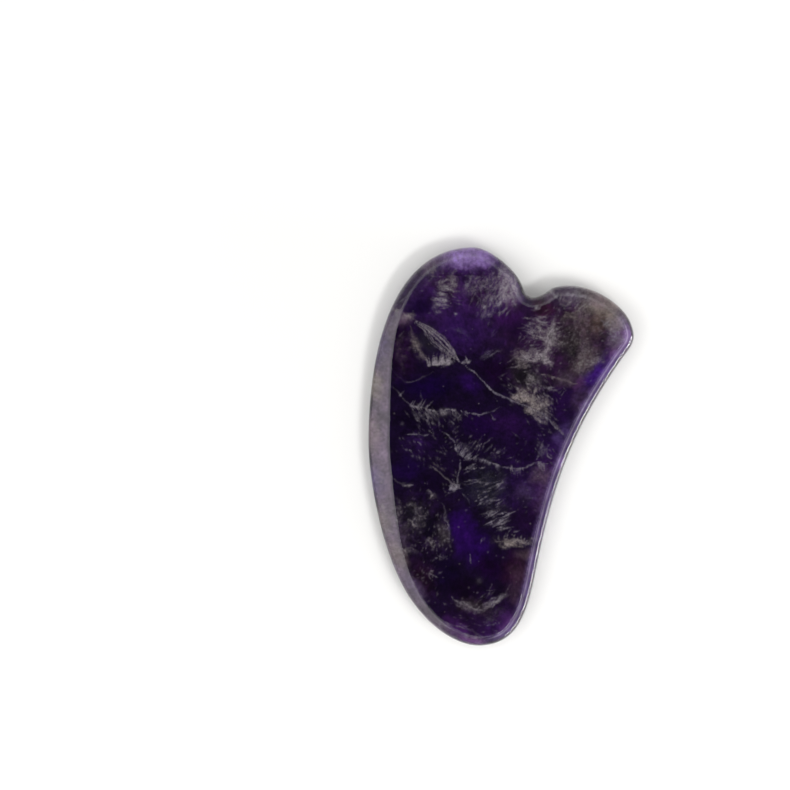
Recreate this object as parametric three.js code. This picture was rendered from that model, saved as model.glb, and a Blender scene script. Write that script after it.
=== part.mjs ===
// Gua sha scraper: one flat board ground and polished from a single slab of amethyst.
//
// Frame: +Z up out of the face, +Y towards the round lobe, +X towards the wing tip.
// The origin is under the middle of the board, on the face that it rests on. Millimetres.

import * as THREE from 'three';

// ---- Overall sizes ----

const LENGTH = 83;          // lobe crest to tail tip, along Y
const WIDTH = 55.3;         // convex back edge to wing tip, along X
const THICKNESS = 6;        // face to face, along Z

// ---- Landmarks on the outline ----

const BACK_HEIGHT = 42.3;   // widest point of the convex back, above the tail tip
const LOBE_INSET = 22;      // crest of the round lobe, in from the back
const WING_INSET = 13.4;    // crest of the wing, in from the wing tip
const WING_DROP = 8;        // wing crest below the lobe crest
const TIP_DROP = 18.7;      // wing tip below the lobe crest
const NOTCH_DEPTH = 10.8;   // corner of the notch below the lobe crest
const NOTCH_SHARE = 0.55;   // corner of the notch, on the way from lobe crest to wing crest
const NOTCH_RADIUS = 2;     // fillet in the bottom of the notch
const TAIL_INSET = 22.9;    // lowest point of the tail, in from the back
const TIP_TURN = { inset: 2.5, drop: 4.6 }; // wing tip runs into the concave edge, from the tip
const WAIST = { out: 12.1, up: 16 };        // concave edge runs into the tail, from the tail
const SHOULDER = { out: 14, up: 9.5 };      // tail runs into the convex back, from the tail

// Which way the outline runs where it isn't square to the board's axes, in
// degrees from +X, going clockwise round the board.
const HEADING = { notchIn: -74, notchOut: 12, tipTurn: -124.7, waist: -101.3, shoulder: 124.6 };

// ---- Section across the edge ----

const BEVEL_ANGLE = 26;       // slope of every bevel, in degrees down from the face
const RIM_DEPTH = 1.1;        // how far in from the outline the oval rim's own centre lies
const BEVEL_WIDTH = 2;        // bevel around the lobe, wing, concave edge and tail
const BACK_BEVEL_WIDTH = 4.4; // broader bevel along the convex back
const BACK_BEVEL_SPAN = 76;   // length of back, along Y, over which the bevel is broader
const BACK_BEVEL_EASE = 0.9;  // share of half that span over which the bevel widens
const BACK_FACING = { least: 0.5, full: 0.85 };   // how squarely an edge must face the back

// ---- Fineness of the solid ----

const OUTLINE_STEP = 1.5;   // spacing of the outline's points
const NOTCH_STEPS = 6;      // points round the notch fillet
const RIM_STEPS = 8;        // facets round the rim

// A point in the plane of the board, and the way the outline runs through it, in degrees.
const landmark = (x, y, heading) => ({
  at: new THREE.Vector2(x, y),
  way: new THREE.Vector2(1, 0).rotateAround(new THREE.Vector2(), THREE.MathUtils.degToRad(heading)),
});

// The outline's landmarks, clockwise from the widest point of the back.
function landmarks() {
  const back = -WIDTH / 2;
  const tip = WIDTH / 2;
  const top = LENGTH / 2;
  const bottom = -LENGTH / 2;
  const lobeX = back + LOBE_INSET;
  const wingX = tip - WING_INSET;
  const tailX = back + TAIL_INSET;
  const notchX = THREE.MathUtils.lerp(lobeX, wingX, NOTCH_SHARE);
  return {
    back: landmark(back, bottom + BACK_HEIGHT, 90),
    lobe: landmark(lobeX, top, 0),
    notchIn: landmark(notchX, top - NOTCH_DEPTH, HEADING.notchIn),
    notchOut: landmark(notchX, top - NOTCH_DEPTH, HEADING.notchOut),
    wing: landmark(wingX, top - WING_DROP, 0),
    tip: landmark(tip, top - TIP_DROP, -90),
    tipTurn: landmark(tip - TIP_TURN.inset, top - TIP_DROP - TIP_TURN.drop, HEADING.tipTurn),
    waist: landmark(tailX + WAIST.out, bottom + WAIST.up, HEADING.waist),
    tail: landmark(tailX, bottom, 180),
    shoulder: landmark(tailX - SHOULDER.out, bottom + SHOULDER.up, HEADING.shoulder),
  };
}

// A fillet in the notch's corner moves the ends of the two edges that meet there
// and adds an arc between them.
function notchFillet(into, outOf) {
  const turn = into.way.angleTo(outOf.way);
  const setback = NOTCH_RADIUS * Math.tan(turn / 2);
  const start = into.at.clone().addScaledVector(into.way, -setback);
  const end = outOf.at.clone().addScaledVector(outOf.way, setback);
  const toCentre = new THREE.Vector2(-into.way.y, into.way.x);
  const centre = start.clone().addScaledVector(toCentre, NOTCH_RADIUS);
  const from = start.clone().sub(centre).angle();
  const arc = new THREE.EllipseCurve(
    centre.x, centre.y, NOTCH_RADIUS, NOTCH_RADIUS, from, from + turn, false);
  return { start: { at: start, way: into.way }, end: { at: end, way: outOf.way }, arc };
}

// A smooth edge from one landmark to the next. The two shares say how far each
// end's direction is held, as a share of the straight distance between them.
function edge(from, to, heldAtStart, heldAtEnd) {
  const span = from.at.distanceTo(to.at);
  return new THREE.CubicBezierCurve(
    from.at,
    from.at.clone().addScaledVector(from.way, heldAtStart * span),
    to.at.clone().addScaledVector(to.way, -heldAtEnd * span),
    to.at,
  );
}

// The closed outline, clockwise, as evenly spaced points that start at the back.
function outlinePoints() {
  const mark = landmarks();
  const notch = notchFillet(mark.notchIn, mark.notchOut);
  const edges = [
    edge(mark.back, mark.lobe, 0.42, 0.37),
    edge(mark.lobe, notch.start, 0.18, 0.38),
    notch.arc,
    edge(notch.end, mark.wing, 0.46, 0.67),
    edge(mark.wing, mark.tip, 0.32, 0.35),
    edge(mark.tip, mark.tipTurn, 0.32, 0.26),
    edge(mark.tipTurn, mark.waist, 0.34, 0.44),
    edge(mark.waist, mark.tail, 0.45, 0.42),
    edge(mark.tail, mark.shoulder, 0.2, 0.51),
    edge(mark.shoulder, mark.back, 0.34, 0.18),
  ];
  return edges.flatMap((curve) => {
    const steps = curve === notch.arc ? NOTCH_STEPS : Math.ceil(curve.getLength() / OUTLINE_STEP);
    return curve.getSpacedPoints(steps).slice(0, -1);
  });
}

// How far the bevel reaches in from the outline: broad along the back, and easing
// to the plain width towards the lobe and the tail.
function bevelWidthAt(point, inward) {
  const alongBack = 1 - Math.abs(point.y) / (BACK_BEVEL_SPAN / 2);
  const share = THREE.MathUtils.smoothstep(alongBack, 0, BACK_BEVEL_EASE)
    * THREE.MathUtils.smoothstep(inward.x, BACK_FACING.least, BACK_FACING.full);
  return THREE.MathUtils.lerp(BEVEL_WIDTH, BACK_BEVEL_WIDTH, share);
}

// The inward direction, square to the outline, at every point of it.
function inwardDirections(points) {
  return points.map((_, i) => {
    const before = points[(i + points.length - 1) % points.length];
    const after = points[(i + 1) % points.length];
    const along = after.clone().sub(before).normalize();
    return new THREE.Vector2(along.y, -along.x);
  });
}

// The edge's section from the top face, down one bevel, round the rim and back up
// the other bevel: each step gives a height and how far in it lies from the outline.
// The rim is half an oval whose height is whatever makes the bevels run into it
// without a corner, so a broader bevel leaves a thinner rim.
function sectionSteps(bevelWidth) {
  const middle = THICKNESS / 2;
  const slope = THREE.MathUtils.degToRad(BEVEL_ANGLE);
  const reach = middle * Math.cos(slope) - (bevelWidth - RIM_DEPTH) * Math.sin(slope);
  const rimHalfHeight = Math.sqrt(reach ** 2 - (RIM_DEPTH * Math.sin(slope)) ** 2) / Math.cos(slope);
  const touch = Math.acos((-RIM_DEPTH * Math.sin(slope)) / reach);
  const steps = [{ inset: bevelWidth, height: THICKNESS }];
  for (let i = 0; i <= RIM_STEPS; i += 1) {
    const angle = THREE.MathUtils.lerp(touch, 2 * Math.PI - touch, i / RIM_STEPS);
    steps.push({
      inset: RIM_DEPTH * (1 + Math.cos(angle)),
      height: middle + rimHalfHeight * Math.sin(angle),
    });
  }
  steps.push({ inset: bevelWidth, height: 0 });
  return steps;
}

// The closed solid: rings of the section joined all round, and the two flat faces.
function boardGeometry() {
  const outline = outlinePoints();
  const inward = inwardDirections(outline);
  const sections = outline.map((point, i) => sectionSteps(bevelWidthAt(point, inward[i])));
  const around = outline.length;
  const rings = sections[0].length;
  const positions = [];
  for (let ring = 0; ring < rings; ring += 1) {
    outline.forEach((point, i) => {
      const { inset, height } = sections[i][ring];
      const at = point.clone().addScaledVector(inward[i], inset);
      positions.push(at.x, at.y, height);
    });
  }

  const triangles = [];
  for (let ring = 0; ring + 1 < rings; ring += 1) {
    for (let i = 0; i < around; i += 1) {
      const next = (i + 1) % around;
      const upper = ring * around;
      const lower = upper + around;
      triangles.push(upper + i, upper + next, lower + next);
      triangles.push(upper + i, lower + next, lower + i);
    }
  }

  const faceCorners = outline.map((_, i) => new THREE.Vector2(positions[3 * i], positions[3 * i + 1]));
  const bottomRing = (rings - 1) * around;
  for (const [a, b, c] of THREE.ShapeUtils.triangulateShape(faceCorners, [])) {
    triangles.push(a, b, c);
    triangles.push(bottomRing + a, bottomRing + c, bottomRing + b);
  }

  const geometry = new THREE.BufferGeometry();
  geometry.setAttribute('position', new THREE.Float32BufferAttribute(positions, 3));
  geometry.setIndex(triangles);
  geometry.computeVertexNormals();
  return geometry;
}

const amethyst = new THREE.MeshStandardMaterial({ color: 0x3a1668, roughness: 0.08, metalness: 0 });

const board = new THREE.Mesh(boardGeometry(), amethyst);
board.name = 'scraper_board';

const scraper = new THREE.Group();
scraper.add(board);

export default scraper;
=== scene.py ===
import math

import bpy
import numpy as np
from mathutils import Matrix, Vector
from mathutils.geometry import delaunay_2d_cdt
from mathutils.kdtree import KDTree


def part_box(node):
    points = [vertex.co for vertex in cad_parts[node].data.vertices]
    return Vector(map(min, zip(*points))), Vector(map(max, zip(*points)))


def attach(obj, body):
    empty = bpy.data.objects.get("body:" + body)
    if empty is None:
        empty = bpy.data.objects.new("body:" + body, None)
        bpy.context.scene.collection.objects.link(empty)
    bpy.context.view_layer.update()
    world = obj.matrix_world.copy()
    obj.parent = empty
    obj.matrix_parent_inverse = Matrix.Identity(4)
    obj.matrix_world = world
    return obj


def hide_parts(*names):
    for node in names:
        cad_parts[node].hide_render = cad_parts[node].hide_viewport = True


# A polished amethyst gua sha board, lying flat on a pale table.
# Sizes are millimetres until a mesh, a light or the camera is made, which take metres.
MM = 0.001

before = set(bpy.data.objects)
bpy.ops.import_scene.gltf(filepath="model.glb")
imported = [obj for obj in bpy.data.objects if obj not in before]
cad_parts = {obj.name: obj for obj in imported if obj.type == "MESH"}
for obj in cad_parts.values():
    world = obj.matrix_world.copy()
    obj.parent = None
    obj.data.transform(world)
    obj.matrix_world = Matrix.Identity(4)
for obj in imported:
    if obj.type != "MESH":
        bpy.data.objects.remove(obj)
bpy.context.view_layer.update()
BOARD = "scraper_board"

# ---- Sizes of the stone ----

LOW, HIGH = (np.array(corner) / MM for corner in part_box(BOARD))
THICKNESS = HIGH[2] - LOW[2]
MIDDLE = (HIGH[2] + LOW[2]) / 2
BEVEL_ANGLE = math.radians(26)
BEVEL_WIDTH = 2.0
BACK_BEVEL_WIDTH = 4.4
BACK_BEVEL_SPAN = 76.0
RIM_DEPTH = 1.1
SKIN = 0.25              # clear polished stone over the coloured heart
SOFT_CREASE = 0.55       # how far polishing has rounded the bevels' inner creases
CRISP_CREASE = 0.12      # the same along the back, where the bevel was ground last

VEIL_LEAN = (0.25, -0.45)  # how far the veils lean over, per millimetre of depth

# ---- Colours inside the stone ----

def seen(code):
    """A colour from its usual six-figure code, as the linear values of a base colour."""
    parts = [int(code[i:i + 2], 16) / 255 for i in (1, 3, 5)]
    return np.array([((c + 0.055) / 1.055) ** 2.4 if c > 0.04 else c / 12.92 for c in parts])


COOL_MILK = seen("#b0acb9")
WARM_MILK = seen("#b8aca0")

# ---- Fineness of the meshes ----

AROUND_STEP = 0.33       # along the outline
HEART_STEP = 0.205       # between points on the heart's upper face
UNDER_STEP = 0.6         # between points on the heart's lower face
FACE_EDGE = 0.3          # flat strip between a face's own points and its crease
CREASE_STEPS = 5
BEVEL_STEPS = 6
RIM_STEPS = 8            # from where the bevel ends to the middle of the rim
CELL = 1.0               # squares that the heart's points are sorted into, to find them

# ---- How veils are drawn ----

UNEVENNESS = 0.55        # how far natural growth has shifted every line in the stone
THREAD_FINENESS = 0.65   # a thread's drawn width, as a share of the width asked for
FADED_OUT = 3            # widths away from a line at which nothing of it is left


def smoothstep(low, high, value):
    """0 up to low, 1 from high, and a smooth climb between them."""
    t = np.clip((value - low) / (high - low), 0, 1)
    return t * t * (3 - 2 * t)


# ---- The outline, taken from the CAD board ----

def cad_outline():
    """The corners of the CAD board's widest ring, in order, clockwise seen from above."""
    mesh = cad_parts[BOARD].data
    places = np.array([v.co for v in mesh.vertices]) / MM
    on_ring = np.abs(places[:, 2] - MIDDLE) < 0.01
    key_of = [tuple(np.round(p[:2], 4)) for p in places]
    beside = {}
    for edge in mesh.edges:
        a, b = edge.vertices
        if on_ring[a] and on_ring[b] and key_of[a] != key_of[b]:
            beside.setdefault(key_of[a], set()).add(key_of[b])
            beside.setdefault(key_of[b], set()).add(key_of[a])
    first = min(beside)
    second = max(beside[first], key=lambda key: key[1])
    walk = [first, second]
    while True:
        onward = (beside[walk[-1]] - {walk[-2]}).pop()
        if onward == first:
            return np.array(walk)
        walk.append(onward)


def smooth_loop(corners, step):
    """Points at an even step on the one smooth closed curve through the corners."""
    count = len(corners)
    after = np.roll(corners, -1, axis=0)
    chord = np.linalg.norm(after - corners, axis=1)
    before = np.roll(chord, 1)
    bend = np.zeros((count, count))
    index = np.arange(count)
    bend[index, index] = 2 * (before + chord)
    bend[index, (index + 1) % count] += chord
    bend[index, index - 1] += before
    slope = (after - corners) / chord[:, None]
    curvature = np.linalg.solve(bend, 6 * (slope - np.roll(slope, 1, axis=0)))
    start = np.concatenate([[0], np.cumsum(chord)])
    along = np.linspace(0, start[-1], round(start[-1] / step), endpoint=False)
    i = np.clip(np.searchsorted(start, along, side="right") - 1, 0, count - 1)
    u = ((along - start[i]) / chord[i])[:, None]
    size = chord[i][:, None]
    line = corners[i] * (1 - u) + after[i] * u
    here, there = curvature[i], np.roll(curvature, -1, axis=0)[i]
    return line + size ** 2 / 6 * (((1 - u) ** 3 - (1 - u)) * here + (u ** 3 - u) * there)


OUTLINE = smooth_loop(cad_outline(), AROUND_STEP)
OUTLINE = np.clip(OUTLINE, LOW[:2], HIGH[:2])
ALONG = np.roll(OUTLINE, -1, axis=0) - np.roll(OUTLINE, 1, axis=0)
ALONG /= np.linalg.norm(ALONG, axis=1)[:, None]
INWARD = np.stack([ALONG[:, 1], -ALONG[:, 0]], axis=1)

# How squarely each point of the outline faces the back, and the hollow side
BACKNESS = (smoothstep(0, 0.9, 1 - np.abs(OUTLINE[:, 1]) / (BACK_BEVEL_SPAN / 2))
            * smoothstep(0.5, 0.85, INWARD[:, 0]))
HOLLOWNESS = smoothstep(0.5, 0.8, INWARD @ np.array([-0.87, 0.5]))
BEVEL = BEVEL_WIDTH + (BACK_BEVEL_WIDTH - BEVEL_WIDTH) * BACKNESS
CRISPNESS = np.maximum(HOLLOWNESS, smoothstep(0.05, 0.35, BACKNESS))
CREASE = SOFT_CREASE + (CRISP_CREASE - SOFT_CREASE) * CRISPNESS


# ---- The stone's surfaces ----

def upper_section(bevel, crease, half):
    """Half of the edge's section, from the face to the middle of the rim, for every
    point of the outline: how far in from the outline, and how far above the middle."""
    slope = math.tan(BEVEL_ANGLE)
    sine, cosine = math.sin(BEVEL_ANGLE), math.cos(BEVEL_ANGLE)
    reach = half * cosine - (bevel - RIM_DEPTH) * sine
    rim_half = np.sqrt(reach ** 2 - (RIM_DEPTH * sine) ** 2) / cosine
    touch = np.arccos(-RIM_DEPTH * sine / reach)
    inset, height = [bevel + crease + FACE_EDGE], [np.full_like(bevel, half)]
    for t in np.linspace(0, 1, CREASE_STEPS + 1):
        inset.append(bevel + crease * (1 - 2 * t))
        height.append(half - t * t * crease * slope)
    rim_starts = RIM_DEPTH * (1 + np.cos(touch))
    for t in np.linspace(0, 1, BEVEL_STEPS + 1)[1:]:
        inset.append((bevel - crease) * (1 - t) + rim_starts * t)
        height.append(half - (bevel - inset[-1]) * slope)
    for t in np.linspace(0, 1, RIM_STEPS + 1)[1:]:
        angle = touch + (math.pi - touch) * t
        inset.append(RIM_DEPTH * (1 + np.cos(angle)))
        height.append(rim_half * np.sin(angle))
    return np.array(inset), np.array(height)


def board_surface(depth, upper_step, lower_step):
    """The board's closed surface, sunk by a depth below the polished one: its points
    and triangles. The steps space the points over the two flat faces; None leaves
    a face without any."""
    half = THICKNESS / 2 - depth
    bevel = BEVEL - depth * (1 - math.tan(BEVEL_ANGLE / 2))
    inset, height = upper_section(bevel, CREASE, half)
    inset = np.concatenate([inset, inset[-2::-1]]) + depth
    height = np.concatenate([height, -height[-2::-1]])
    rings, around = inset.shape
    places = [np.concatenate([OUTLINE + INWARD * inset[r][:, None],
                              (MIDDLE + height[r])[:, None]], axis=1) for r in range(rings)]
    ring_of = np.arange(rings * around).reshape(rings, around)
    here, below = ring_of[:-1], ring_of[1:]
    ahead, below_ahead = np.roll(here, -1, axis=1), np.roll(below, -1, axis=1)
    walls = np.concatenate([
        np.stack([here, ahead, below_ahead], axis=-1).reshape(-1, 3),
        np.stack([here, below_ahead, below], axis=-1).reshape(-1, 3)])
    triangles = [walls]
    total = rings * around
    for ring, step, up in ((0, upper_step, True), (rings - 1, lower_step, False)):
        edge = places[ring]
        inner, faces = filled_face(edge[:, :2], step)
        height_here = np.full((len(inner), 1), edge[0, 2])
        places.append(np.concatenate([inner, height_here], axis=1))
        faces = np.where(faces < around, faces + ring * around, faces - around + total)
        triangles.append(faces if up else faces[:, ::-1])
        total += len(inner)
    return np.concatenate(places), np.concatenate(triangles)


def filled_face(ring, step):
    """Points inside a closed ring, in staggered rows, and the triangles that fill it,
    counter-clockwise. Ring points come first in the triangles' numbering."""
    inner = np.zeros((0, 2))
    if step:
        low, high = ring.min(axis=0), ring.max(axis=0)
        rows = np.arange(low[1], high[1], step * math.sqrt(3) / 2)
        columns = np.arange(low[0], high[0], step)
        x = np.tile(columns, (len(rows), 1)) + (np.arange(len(rows)) % 2)[:, None] * step / 2
        y = np.tile(rows[:, None], (1, len(columns)))
        inner = np.stack([x.ravel(), y.ravel()], axis=1)
        inner = inner[inside_loop(inner, ring, step * 0.6)]
    count = len(ring)
    points = [Vector(p) for p in np.concatenate([ring, inner])]
    edges = [(i, (i + 1) % count) for i in range(count)]
    faces = np.array(delaunay_2d_cdt(points, edges, [], 1, 1e-7)[2])
    corners = np.concatenate([ring, inner])[faces]
    first, second = corners[:, 1] - corners[:, 0], corners[:, 2] - corners[:, 0]
    turned = first[:, 0] * second[:, 1] - first[:, 1] * second[:, 0] < 0
    faces[turned] = faces[turned][:, ::-1]
    return inner, faces


def inside_loop(points, loop, margin):
    """Which points lie inside a closed loop and at least a margin away from it."""
    after = np.roll(loop, -1, axis=0)
    inside = np.zeros(len(points), bool)
    clear = np.ones(len(points), bool)
    for (ax, ay), (bx, by) in zip(loop, after):
        crosses = (ay > points[:, 1]) != (by > points[:, 1])
        at = ax + (points[crosses, 1] - ay) * (bx - ax) / (by - ay if by != ay else 1)
        inside[crosses] ^= points[crosses, 0] < at
        near = (np.abs(points[:, 0] - ax) < margin) & (np.abs(points[:, 1] - ay) < margin)
        clear[near] = False
    return inside & clear


def new_piece(name, places, triangles):
    """A smoothly shaded object from its points, in millimetres, and its triangles."""
    mesh = bpy.data.meshes.new(name)
    mesh.from_pydata((places * MM).tolist(), [], triangles.tolist())
    mesh.polygons.foreach_set("use_smooth", [True] * len(mesh.polygons))
    mesh.update()
    piece = bpy.data.objects.new(name, mesh)
    bpy.context.collection.objects.link(piece)
    return piece


# ---- Drawing the stone's inside on the points of its heart ----

def mottle(u, v, size, seed):
    """Soft random patches from 0 to 1, each about the size given."""
    cells = 128
    lattice = np.random.default_rng(seed).random((cells, cells))
    u, v = u / size, v / size
    column, row = np.floor(u).astype(int), np.floor(v).astype(int)
    a, b = u - column, v - row
    a, b = a * a * (3 - 2 * a), b * b * (3 - 2 * b)
    left, right = column % cells, (column + 1) % cells
    under, over = row % cells, (row + 1) % cells
    lower = lattice[under, left] * (1 - a) + lattice[under, right] * a
    upper = lattice[over, left] * (1 - a) + lattice[over, right] * a
    return lower * (1 - b) + upper * b


def rough_mottle(u, v, size, seed, layers=4):
    """Patches with finer patches in them."""
    total, weight = np.zeros_like(u), 0.0
    for layer in range(layers):
        share = 0.55 ** layer
        total += share * mottle(u, v, size / 2 ** layer, seed + layer)
        weight += share
    return total / weight


def filaments(u, v, size, seed):
    """A web of thin bright filaments, from 0 to 1."""
    first = np.exp(-((rough_mottle(u, v, size, seed, 5) - 0.5) / 0.035) ** 2)
    second = np.exp(-((rough_mottle(u, v, size * 0.6, seed + 7, 4) - 0.48) / 0.045) ** 2)
    return np.clip(first + 0.7 * second, 0, 1)


def turned(u, v, degrees):
    """Distances along and across a direction, in degrees from +X."""
    cosine, sine = math.cos(math.radians(degrees)), math.sin(math.radians(degrees))
    return u * cosine + v * sine, v * cosine - u * sine


def bent_path(points, step=0.25):
    """Points at an even step along a smooth open curve through a few chosen ones."""
    points = np.array(points, float)
    if len(points) < 3:
        count = max(2, int(np.linalg.norm(points[-1] - points[0]) / step))
        return points[0] + (points[-1] - points[0]) * np.linspace(0, 1, count)[:, None]
    ends = np.concatenate([2 * points[:1] - points[1:2], points, 2 * points[-1:] - points[-2:-1]])
    pieces = []
    for p0, p1, p2, p3 in zip(ends, ends[1:], ends[2:], ends[3:]):
        count = max(2, int(np.linalg.norm(p2 - p1) / step))
        t = np.linspace(0, 1, count, endpoint=False)[:, None]
        pieces.append(p1 + t * (p2 - p0) / 2 + t ** 2 * (p0 - 2.5 * p1 + 2 * p2 - p3 / 2)
                      + t ** 3 * (1.5 * (p1 - p2) + (p3 - p0) / 2))
    return np.concatenate(pieces + [points[-1:]])


class Inside:
    """Colour and milkiness at every point of the heart's surface."""

    def __init__(self, places):
        depth = HIGH[2] - SKIN - places[:, 2]
        tree = KDTree(len(OUTLINE))
        for k, (x, y) in enumerate(OUTLINE):
            tree.insert((x, y, 0), k)
        tree.balance()
        nearest = [tree.find((x, y, 0)) for x, y, _ in places]
        self.inset = np.array([distance for _, _, distance in nearest])
        beside = [k for _, k, _ in nearest]
        self.outward = -INWARD[beside]
        self.bevel = BEVEL[beside]
        u = places[:, 0] + depth * VEIL_LEAN[0]
        v = places[:, 1] + depth * VEIL_LEAN[1]
        self.u = u + UNEVENNESS * (rough_mottle(u, v, 1.1, 5, 3) - 0.5)
        self.v = v + UNEVENNESS * (rough_mottle(u, v, 1.1, 6, 3) - 0.5)
        self.ground = np.tile(np.array(NIGHT, float), (len(places), 1))
        self.milk = np.zeros(len(places))
        self.warmth = np.zeros(len(places))
        cells = np.floor(np.stack([self.u, self.v], axis=1) / CELL).astype(int)
        order = np.lexsort((cells[:, 1], cells[:, 0]))
        self.cell = {}
        starts = np.flatnonzero(np.any(np.diff(cells[order], axis=0), axis=1)) + 1
        for group in np.split(order, starts):
            self.cell[tuple(cells[group[0]])] = group

    def near(self, low, high):
        """The points in a rectangle, as indices."""
        low, high = np.floor(np.array([low, high]) / CELL).astype(int)
        groups = [self.cell[(i, j)] for i in range(low[0], high[0] + 1)
                  for j in range(low[1], high[1] + 1) if (i, j) in self.cell]
        return np.concatenate(groups) if groups else np.zeros(0, int)

    def zone(self, colour, x, y, along, across, turn=0, strength=1.0, soft=0.75):
        """An oval of one colour with an uneven, soft edge."""
        reach = max(along, across) * 1.6
        i = self.near((x - reach, y - reach), (x + reach, y + reach))
        u, v = self.u[i], self.v[i]
        sway = min(along, across) * 0.5
        u = u + sway * (rough_mottle(u, v, 1.8, 11) - 0.5) * 2
        v = v + sway * (rough_mottle(u, v, 1.8, 12) - 0.5) * 2
        a, b = turned(u - x, v - y, turn)
        distance = np.hypot(a / along, b / across)
        amount = strength * (1 - smoothstep(1 - soft, 1 + soft * 0.5, distance))[:, None]
        self.ground[i] += (np.array(colour, float) - self.ground[i]) * amount

    def marble(self, x, y, along, across, turn, contrast, size, seed):
        """Light and dark mottling, with dark cracks, over an oval of the ground."""
        reach = max(along, across) * 1.3
        i = self.near((x - reach, y - reach), (x + reach, y + reach))
        u, v = self.u[i], self.v[i]
        a, b = turned(u - x, v - y, turn)
        inside = 1 - smoothstep(0.45, 1.2, np.hypot(a / along, b / across))
        patches = (rough_mottle(u, v, size, seed) - 0.5) * 5
        grains = (rough_mottle(u, v, size / 4, seed + 3, 3) - 0.5) * 3
        cracks = filaments(u, v, size * 1.5, seed + 20)
        change = contrast * inside * (patches + grains - 0.9 * cracks)
        self.ground[i] *= np.exp(change)[:, None]

    def add_milk(self, i, amount, warmth):
        """Milk over what is there: it never goes past fully white."""
        amount = np.clip(amount, 0, 1)
        fresh = (1 - self.milk[i]) * amount
        total = self.milk[i] + fresh
        share = fresh / np.maximum(total, 1e-6)
        self.warmth[i] += (warmth - self.warmth[i]) * share
        self.milk[i] = total

    def thread(self, points, width, strength, warmth=0.3, uneven=0.75, seed=1):
        """A thin bright line through chosen places."""
        path = bent_path(points)
        width = width * THREAD_FINENESS
        reach = width * FADED_OUT
        i = self.near(path.min(axis=0) - reach, path.max(axis=0) + reach)
        if not len(i):
            return
        here = np.stack([self.u[i], self.v[i]], axis=1)
        nearest = np.full(len(i), 1e9)
        along = np.zeros(len(i))
        for k, (start, end) in enumerate(zip(path, path[1:])):
            step = end - start
            t = np.clip(((here - start) @ step) / max(step @ step, 1e-9), 0, 1)
            away = np.linalg.norm(here - start - t[:, None] * step, axis=1)
            closer = away < nearest
            nearest[closer], along[closer] = away[closer], (k + t[closer]) / (len(path) - 1)
        taper = np.clip(np.minimum(along, 1 - along) * 5, 0.2, 1)
        taper = taper * (0.45 + 1.1 * mottle(self.u[i], self.v[i], 0.7, 35 + seed))
        patches = rough_mottle(self.u[i], self.v[i], 1.2, 30 + seed)
        patchy = 1 - uneven * smoothstep(0.35, 0.62, patches)
        self.add_milk(i, strength * patchy * np.exp(-(nearest / (width * taper)) ** 2), warmth)

    def needles(self, points, lean, length, count, width=0.16, strength=0.6, spread=12,
                warmth=0.3, seed=1):
        """Fine straight needles standing off a line, all of them about one way."""
        draw = np.random.default_rng(seed)
        path = bent_path(points)
        for _ in range(count):
            root = path[draw.integers(len(path))] + draw.normal(0, 0.12, 2)
            way = math.radians(lean + draw.normal(0, spread))
            size = length * draw.uniform(0.45, 1.1)
            tip = root + size * np.array([math.cos(way), math.sin(way)])
            thick = width * draw.uniform(0.7, 1.3)
            self.needle(root, tip, thick, strength * draw.uniform(0.4, 1.1), warmth)

    def strokes(self, x, y, along, across, turn, lean, length, count, strength=0.4, width=0.13,
                warmth=0.3, spread=8, seed=1):
        """Short fine strokes, nearly side by side, scattered over an oval."""
        draw = np.random.default_rng(seed)
        for _ in range(count):
            a, b = draw.normal(0, 0.5, 2) * (along, across)
            place = np.array([x, y]) + turned(a, b, -turn)
            way = math.radians(lean + draw.normal(0, spread))
            half = length / 2 * draw.uniform(0.4, 1.2) * np.array([math.cos(way), math.sin(way)])
            bright = strength * draw.uniform(0.25, 1.15)
            thick = width * draw.uniform(0.8, 1.4)
            self.needle(place, place + half, thick, bright, warmth)
            self.needle(place, place - half, thick, bright, warmth)

    def needle(self, root, tip, width, strength, warmth=0.3):
        """One straight needle, widest and brightest near its root."""
        root, tip = np.array(root, float), np.array(tip, float)
        reach = width * FADED_OUT
        i = self.near(np.minimum(root, tip) - reach, np.maximum(root, tip) + reach)
        if not len(i):
            return
        here = np.stack([self.u[i], self.v[i]], axis=1)
        step = tip - root
        t = np.clip(((here - root) @ step) / max(step @ step, 1e-9), 0, 1)
        away = np.linalg.norm(here - root - t[:, None] * step, axis=1)
        size = width * (1 - 0.75 * t)
        patchy = 0.5 + rough_mottle(self.u[i], self.v[i], 0.8, 95, 3)
        self.add_milk(i, strength * patchy * (1 - 0.7 * t) * np.exp(-(away / size) ** 2), warmth)

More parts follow.
